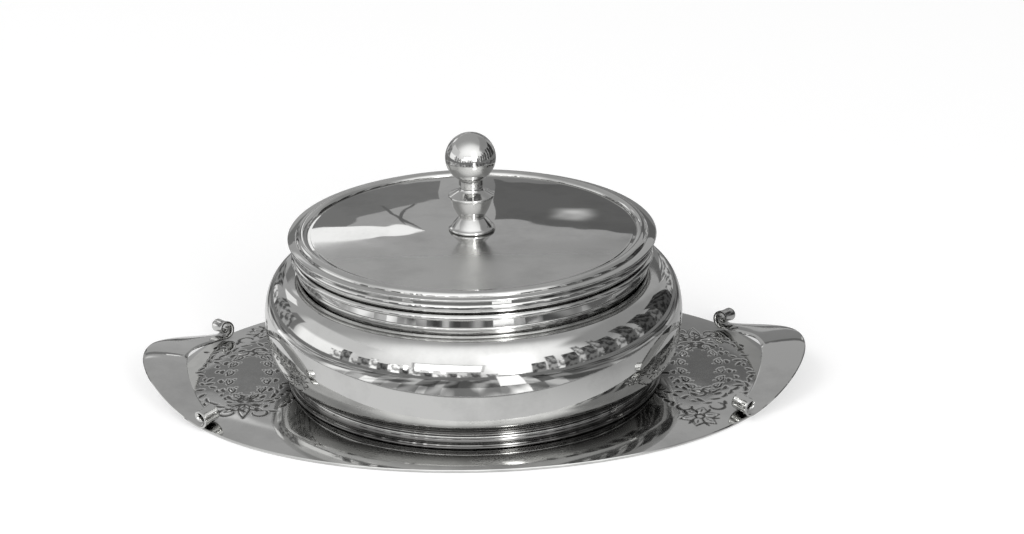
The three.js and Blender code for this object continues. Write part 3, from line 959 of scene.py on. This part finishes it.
def bowl(metal):
    line = belly_line()
    line_bottom = NECK_LEVEL + NECK_TUCK
    line_top = line_bottom + NECK_LINE_HEIGHT
    line_middle = line_bottom + NECK_LINE_HEIGHT / 2
    inside = [p for p in drawn_in(line, BOWL_WALL) if p[1] > BOWL_BASE + BOWL_WALL]
    turned("bowl", [
        (0, BOWL_BASE),
        *line,
        (NECK_RADIUS, line_bottom),
        *bead(MOUTH_OUTER_RADIUS, line_middle, NECK_LINE_PROUD, NECK_LINE_HEIGHT, FINE_STEPS),
        (MOUTH_OUTER_RADIUS, line_top),
        (MOUTH_OUTER_RADIUS, MOUTH_TOP),
        (MOUTH_INNER_RADIUS, MOUTH_TOP),
        (MOUTH_INNER_RADIUS, line_top),
        (NECK_RADIUS - BOWL_WALL, line_bottom),
        *reversed(inside),
        (FOOT_TOP_RADIUS - 2 * BOWL_WALL, BOWL_BASE + BOWL_WALL),
        (0, BOWL_BASE + BOWL_WALL),
    ], ROUND_SIDES, metal, "bowl_shell")


def foot_ring(metal):
    inner = FOOT_TOP_RADIUS - FOOT_WALL
    lip = FOOT_BOTTOM_RADIUS - FOOT_LIP_PROUD
    cove_bottom = TRAY_TOP + FOOT_LIP_HEIGHT + FOOT_FILLET
    cove_top = BOWL_BASE - FOOT_BEAD_HEIGHT
    bead_middle = BOWL_BASE - FOOT_BEAD_HEIGHT / 2
    turned("foot_ring", [
        (inner, TRAY_TOP),
        *bead(lip, TRAY_TOP + FOOT_LIP_HEIGHT / 2, FOOT_LIP_PROUD, FOOT_LIP_HEIGHT, FINE_STEPS),
        *bend((lip, cove_top), lip - FOOT_TOP_RADIUS, cove_top - cove_bottom, -UPWARD, -INWARD, FINE_STEPS),
        *bead(FOOT_TOP_RADIUS, bead_middle, FOOT_BEAD_PROUD, FOOT_BEAD_HEIGHT, FINE_STEPS),
        (inner, BOWL_BASE),
    ], ROUND_SIDES, metal, "bowl_foot_ring")


def rim_bead(metal):
    inner = MOUTH_OUTER_RADIUS + SEAT_GAP
    bottom = MOUTH_TOP - BEAD_TOP_DROP - BEAD_HEIGHT
    turned("rim_bead", [
        (inner, bottom),
        *bead(inner, bottom + BEAD_HEIGHT / 2, BEAD_PROUD, BEAD_HEIGHT, BEAD_STEPS),
        (inner, bottom + BEAD_HEIGHT),
    ], ROUND_SIDES, metal, "bowl_rim_bead")


# Lid and knob


def lid(metal):
    disc = []
    for i in range(DISC_STEPS + 1):
        r = lerp(STEM_BORE, LID_DISC_RADIUS, i / DISC_STEPS)
        disc.append((r, LID_TOP - LID_DISC_RISE * (r / LID_DISC_RADIUS) ** 2))
    ledge = LID_TOP - LID_LEDGE_DROP
    ring_middle = (LID_RING_INNER_RADIUS + LID_RING_OUTER_RADIUS) / 2
    ring_half_width = (LID_RING_OUTER_RADIUS - LID_RING_INNER_RADIUS) / 2
    ring_height = LID_RING_RISE + LID_LEDGE_DROP
    lip = LID_LIP_HEIGHT / 2
    wall = LID_SKIRT_RADIUS - LID_SKIRT_TUCK
    band_middle = MOUTH_TOP + SEAT_GAP + LID_SKIRT_BAND_HEIGHT / 2
    underside = LID_TOP - LID_SHEET
    turned("lid", [
        *disc,
        (LID_DISC_RADIUS, LID_TOP - LID_DISC_DROP),
        (LID_RING_INNER_RADIUS, LID_TOP - LID_DISC_DROP),
        *bend((ring_middle, ledge), ring_half_width, ring_height, INWARD, OUTWARD, LID_RING_STEPS)[1:],
        *reversed(bead(LID_EDGE_RADIUS - lip, ledge - lip, lip, LID_LIP_HEIGHT, FINE_STEPS)),
        (wall, ledge - LID_LIP_HEIGHT),
        *reversed(bead(wall, band_middle, LID_SKIRT_TUCK, LID_SKIRT_BAND_HEIGHT, FINE_STEPS)),
        (wall, MOUTH_TOP),
        (COLLAR_RADIUS + SEAT_GAP, MOUTH_TOP),
        (COLLAR_RADIUS + SEAT_GAP, underside - LID_DISC_DROP),
        (LID_DISC_RADIUS, underside - LID_DISC_DROP),
        *reversed([(r, z - LID_SHEET) for r, z in disc[:-1]]),
    ], ROUND_SIDES, metal, "lid_shell")


def knob_pedestal(metal):
    collar_level = LID_TOP + KNOB_COLLAR_HEIGHT
    collar_inner = KNOB_COLLAR_RADIUS - KNOB_COLLAR_ROUND
    flange_middle = LID_TOP + FLANGE_THICKNESS / 2
    turned("knob_stem", [
        (STEM_BORE, LID_TOP),
        *bead(FLANGE_RADIUS - FLANGE_ROUND, flange_middle, FLANGE_ROUND, FLANGE_THICKNESS, FINE_STEPS),
        *smooth([
            (FLANGE_RADIUS - FLANGE_ROUND, LID_TOP + FLANGE_THICKNESS),
            (DOME_RADIUS, LID_TOP + DOME_HEIGHT),
            (WAIST_RADIUS, LID_TOP + WAIST_HEIGHT),
        ], BEAD_STEPS)[1:],
        *smooth([
            (WAIST_RADIUS, LID_TOP + WAIST_HEIGHT + WAIST_BAND),
            (CUP_RADIUS, LID_TOP + CUP_HEIGHT),
            (collar_inner, collar_level - KNOB_COLLAR_THICKNESS / 2),
        ], BEAD_STEPS),
        *bead(collar_inner, collar_level, KNOB_COLLAR_ROUND, KNOB_COLLAR_THICKNESS, FINE_STEPS),
        *smooth([
            (KNOB_NECK_RADIUS + KNOB_NECK_FLARE, LID_TOP + KNOB_NECK_START),
            (KNOB_NECK_RADIUS, LID_TOP + KNOB_NECK_START + KNOB_NECK_FLARE),
            (KNOB_NECK_RADIUS, LID_TOP + KNOB_NECK_HEIGHT),
        ], BEAD_STEPS),
        (STEM_BORE, LID_TOP + KNOB_NECK_HEIGHT),
    ], KNOB_SIDES, metal, "knob_pedestal")


def knob_ball(metal):
    centre = (0, LID_TOP + BALL_CENTRE_HEIGHT)
    start = math.asin(KNOB_NECK_RADIUS / BALL_RADIUS) - UPWARD
    round_line = bend(centre, BALL_RADIUS, BALL_RADIUS, start, UPWARD, CURVE_STEPS)
    turned("knob_ball_polished", [
        centre,
        (STEM_BORE, centre[1]),
        (STEM_BORE, LID_TOP + KNOB_NECK_HEIGHT),
        (KNOB_NECK_RADIUS, LID_TOP + KNOB_NECK_HEIGHT),
        *round_line[:-1],
        (0, centre[1] + BALL_RADIUS),
    ], KNOB_SIDES, metal, "knob_ball")


# Studio


def direction(azimuth, elevation):
    """Unit vector towards a place in the room. Azimuth 0 is behind the camera, 90 to its right."""
    a, e = math.radians(azimuth), math.radians(elevation)
    return Vector((math.sin(a) * math.cos(e), -math.cos(a) * math.cos(e), math.sin(e)))


def stage_sheet(name, points, faces, material):
    """A flat sheet of the studio, which is no part of the object."""
    mesh = bpy.data.meshes.new(name)
    mesh.from_pydata(points, [], faces)
    mesh.materials.append(material)
    sheet = bpy.data.objects.new(name, mesh)
    bpy.context.scene.collection.objects.link(sheet)
    return sheet


def rectangle(width, height):
    """Corners and face of a level rectangle about the middle."""
    x, y = width / 2, height / 2
    return [(-x, -y, 0), (x, -y, 0), (x, y, 0), (-x, y, 0)], [(0, 1, 2, 3)]


def seen_in_metal_only(sheet):
    sheet.visible_camera = False
    sheet.visible_diffuse = False
    sheet.visible_shadow = False


def blank_tree(name):
    """A new material and its node tree, with no nodes in it."""
    material = bpy.data.materials.new(name)
    material.use_nodes = True
    material.node_tree.nodes.clear()
    return material, material.node_tree


def solid_middle(tree, fade):
    """One in the middle of a sheet and nothing at its edges, with the fade's share of its width between."""
    place = tree.nodes.new("ShaderNodeTexCoord").outputs["Generated"]
    from_middle = vector_maths(tree, "SUBTRACT", place, (0.5, 0.5, 0.5))[0]
    sides = add(tree, "ShaderNodeSeparateXYZ", Vector=vector_maths(tree, "ABSOLUTE", from_middle)[0]).outputs
    spread = (0.5 - fade / 2, 0.5)
    across, along = [ranged(tree, sides[axis], spread, 1, 0, "SMOOTHSTEP") for axis in ("X", "Y")]
    return maths(tree, "MULTIPLY", across, along)


def glow(name, strength, clutter=0, fade=0):
    """A lit surface, broken into lighter and darker patches by the clutter, fading out towards its edges."""
    material, tree = blank_tree(name)
    shine = add(tree, "ShaderNodeEmission", Strength=strength).outputs[0]
    if clutter:
        place = tree.nodes.new("ShaderNodeTexCoord").outputs["Object"]
        tall = add(tree, "ShaderNodeMapping", Vector=place, Scale=(1, CLUTTER_STRETCH_SHARE, 1)).outputs[0]
        patches = noise(tree, tall, *CLUTTER_NOISE)
        uneven = ranged(tree, patches, CLUTTER_SPREAD, strength * (1 - clutter), strength * (1 + clutter))
        tree.links.new(uneven, tree.nodes["Emission"].inputs["Strength"])
    if fade:
        clear = tree.nodes.new("ShaderNodeBsdfTransparent").outputs[0]
        shine = add(tree, "ShaderNodeMixShader", _0=solid_middle(tree, fade), _1=clear, _2=shine).outputs[0]
    add(tree, "ShaderNodeOutputMaterial", Surface=shine)
    return material


def card(name, azimuths, elevations, strength, distance, fade=0, clutter=0):
    """A sheet that only the metal's reflections meet, across a span of directions in degrees."""
    width = 2 * distance * math.tan(math.radians(azimuths[1] - azimuths[0]) / 2)
    height = 2 * distance * math.tan(math.radians(elevations[1] - elevations[0]) / 2)
    sheet = stage_sheet(name, *rectangle(width, height), glow(name, strength, clutter, fade))
    towards = direction(sum(azimuths) / 2, sum(elevations) / 2)
    turn = towards.to_track_quat("Z", "Y").to_matrix().to_4x4()
    sheet.matrix_world = Matrix.Translation(ROOM_CENTRE + towards * distance) @ turn
    seen_in_metal_only(sheet)


def floor_ring(name, inner, outer, material, azimuths=ALL_ROUND, level=SHEET_LEVEL):
    """A flat ring on the floor between two half-sizes, or a part of it, which only the metal mirrors."""
    turns = np.radians(np.linspace(*azimuths, FLOOR_STEPS + 1))
    points = []
    for half_x, half_y in (inner, outer):
        points += [(half_x * math.sin(turn), -half_y * math.cos(turn), level) for turn in turns]
    far = len(turns)
    faces = [(i, i + 1, far + i + 1, far + i) for i in range(FLOOR_STEPS)]
    seen_in_metal_only(stage_sheet(name, points, faces, material))


def shaded_table():
    """The white table top, dimmer on the side away from the window."""
    material = glow("table_top", TABLE_STRENGTHS[0])
    tree = material.node_tree
    place = tree.nodes.new("ShaderNodeTexCoord").outputs["Object"]
    across = add(tree, "ShaderNodeSeparateXYZ", Vector=place).outputs["X"]
    strength = ranged(tree, across, TABLE_SHADE_SPREAD, *TABLE_STRENGTHS)
    tree.links.new(strength, tree.nodes["Emission"].inputs["Strength"])
    return material


def mirrored_floor():
    """The table top and the floor as the metal sees them, from the tray's edge outwards."""
    tray_size = (TRAY_HALF_LENGTH * MM, TRAY_HALF_WIDTH * MM)
    edge = tuple(half + TABLE_EDGE_SHADOW_WIDTH for half in TABLE_HALF_SIZE)
    room_end = (ROOM_REACH, ROOM_REACH)
    floor_ring("table_top", tray_size, TABLE_HALF_SIZE, shaded_table())
    # A dim ring along the table's edge: a painted shadow that the metal mirrors.
    floor_ring("table_edge_shadow", TABLE_HALF_SIZE, edge, glow("table_edge_shadow", TABLE_EDGE_SHADOW_STRENGTH))
    for number, (start, end, strength) in enumerate(NEAR_FLOOR):
        near, wide = f"near_floor_{number}", f"wide_floor_{number}"
        floor_ring(near, edge, NEAR_FLOOR_HALF_SIZE, glow(near, strength, CLUTTER), (start, end))
        dim = glow(wide, strength * WIDE_FLOOR_SHARE, CLUTTER)
        span = (start + WIDE_FLOOR_TURN, end + WIDE_FLOOR_TURN)
        floor_ring(wide, NEAR_FLOOR_HALF_SIZE, WIDE_FLOOR_HALF_SIZE, dim, span)
    floor_ring("far_floor", WIDE_FLOOR_HALF_SIZE, room_end, glow("far_floor", FAR_FLOOR_STRENGTH))
    near, far = SUN_PATCH_REACH
    sunlit = glow("sun_patch", SUN_PATCH_STRENGTH)
    floor_ring("sun_patch", (near, near), (far, far), sunlit, SUN_PATCH, 2 * SHEET_LEVEL)


def mirrored_room():
    """The things round the table and the room's large surfaces as the metal sees them."""
    for number, (start, end, top, strength) in enumerate(THINGS):
        card(f"thing_{number}", (start, end), (THINGS_FOOT, top), strength, THINGS_DISTANCE, 0, CLUTTER)
    for name, (azimuths, elevations, strength, distance, fade) in ROOM_SURFACES.items():
        card(name, azimuths, elevations, strength, distance, fade)
    for name, (distance, strength, corners) in FAR_WALL_SHAPES.items():
        points = [ROOM_CENTRE + direction(*corner) * distance for corner in corners]
        seen_in_metal_only(stage_sheet(name, points, [range(len(corners))], glow(name, strength)))


def floor():
    """Pale floor that shows white to the camera and in the metal, and keeps the object's shadow."""
    material, tree = blank_tree("floor_white")
    paint = add(tree, "ShaderNodeBsdfDiffuse", Color=STUDIO_FLOOR_COLOUR).outputs[0]
    path = tree.nodes.new("ShaderNodeLightPath").outputs
    seen = maths(tree, "MAXIMUM", path["Is Camera Ray"], path["Is Glossy Ray"])
    seen = maths(tree, "MAXIMUM", seen, path["Is Transmission Ray"])
    lift = add(tree, "ShaderNodeEmission", Strength=maths(tree, "MULTIPLY", seen, FLOOR_LIFT)).outputs[0]
    both = add(tree, "ShaderNodeAddShader", _0=paint, _1=lift).outputs[0]
    add(tree, "ShaderNodeOutputMaterial", Surface=both)
    stage_sheet("floor", *rectangle(STUDIO_FLOOR_SIZE, STUDIO_FLOOR_SIZE), material)


def room():
    """Even pale room light that grows towards the ceiling and the window wall."""
    world = bpy.data.worlds.new("room")
    world.use_nodes = True
    bpy.context.scene.world = world
    tree = world.node_tree
    place = tree.nodes.new("ShaderNodeTexCoord").outputs["Generated"]
    lean = vector_maths(tree, "DOT_PRODUCT", place, ROOM_LEAN)["Value"]
    sky = tree.nodes["Background"]
    sky.inputs["Color"].default_value = (1, 1, 1, 1)
    strength = ranged(tree, lean, ROOM_LEAN_SPREAD, *ROOM_STRENGTHS, "SMOOTHSTEP")
    tree.links.new(strength, sky.inputs["Strength"])


def soft_lamp(name, azimuth, elevation, distance, size, power):
    """A lamp that lights the room but never shows in the metal."""
    lamp = bpy.data.lights.new(name, "AREA")
    lamp.shape = "RECTANGLE"
    lamp.size, lamp.size_y = size
    lamp.energy = power
    thing = bpy.data.objects.new(name, lamp)
    bpy.context.scene.collection.objects.link(thing)
    towards = direction(azimuth, elevation)
    thing.location = ROOM_CENTRE + towards * distance
    thing.rotation_mode = "QUATERNION"
    thing.rotation_quaternion = towards.to_track_quat("Z", "Y")
    thing.visible_camera = False
    thing.visible_glossy = False


def camera():
    """The photograph's view, which looks down at the lid's middle at its known place in the picture."""
    width, height = PHOTO_SIZE
    forward = Vector((0, math.cos(CAMERA_PITCH), -math.sin(CAMERA_PITCH)))
    level_up = Vector((0, math.sin(CAMERA_PITCH), math.cos(CAMERA_PITCH)))
    level_right = Vector((1, 0, 0))
    right = level_right * math.cos(CAMERA_ROLL) - level_up * math.sin(CAMERA_ROLL)
    up = level_right * math.sin(CAMERA_ROLL) + level_up * math.cos(CAMERA_ROLL)
    across = (width / 2 - LID_MIDDLE_PIXEL[0]) / FOCAL_PIXELS
    down = (height / 2 - LID_MIDDLE_PIXEL[1]) / FOCAL_PIXELS
    back = -(forward + right * across - up * down).normalized()
    right = up.cross(back).normalized()
    up = back.cross(right)
    lens = bpy.data.cameras.new("photo_view")
    lens.sensor_width = SENSOR_WIDTH
    lens.lens = SENSOR_WIDTH * FOCAL_PIXELS / width
    lens.clip_start, lens.clip_end = CAMERA_CLIP
    view = bpy.data.objects.new("photo_view", lens)
    bpy.context.scene.collection.objects.link(view)
    turn = Matrix((right, up, back)).transposed().to_4x4()
    view.matrix_world = Matrix.Translation(CAMERA_PLACE) @ turn
    bpy.context.scene.camera = view


def dress(node, metal):
    """Gives a metal to a solid that stays as the model has it."""
    for holder in frame["nodes"][node].material_slots:
        holder.material = metal


camera()
floor()
room()
for name, settings in LAMPS.items():
    soft_lamp(name, *settings)
mirrored_floor()
mirrored_room()

# The bowl, foot and tray get painted shade round the hollow under the belly; the tray's chased cuts keep
# their patina.
polish = silver("silver_polish", painted_shade=BELLY_PAINTED_SHADE)
under = silver("silver_under", painted_shade=FOOT_PAINTED_SHADE)
plain = silver("silver_plain")
chased = silver("silver_chased", recess="recess", painted_shade=TRAY_PAINTED_SHADE)
soft = silver("silver_soft", worn=WORN_DISC)
steel = machined_steel("fixing_steel")

tray(chased)
strap_handle("handle_right", 0, plain, "tray_handle_right")
strap_handle("handle_left", math.pi, plain, "tray_handle_left")
bowl(polish)
foot_ring(under)
rim_bead(plain)
lid(soft)
knob_pedestal(plain)
knob_ball(plain)

dress("lid_collar", soft)
for fixing in ("knob_stud", "knob_washer", "knob_nut"):
    dress(fixing, steel)

bpy.context.scene.view_settings.view_transform = "Standard"
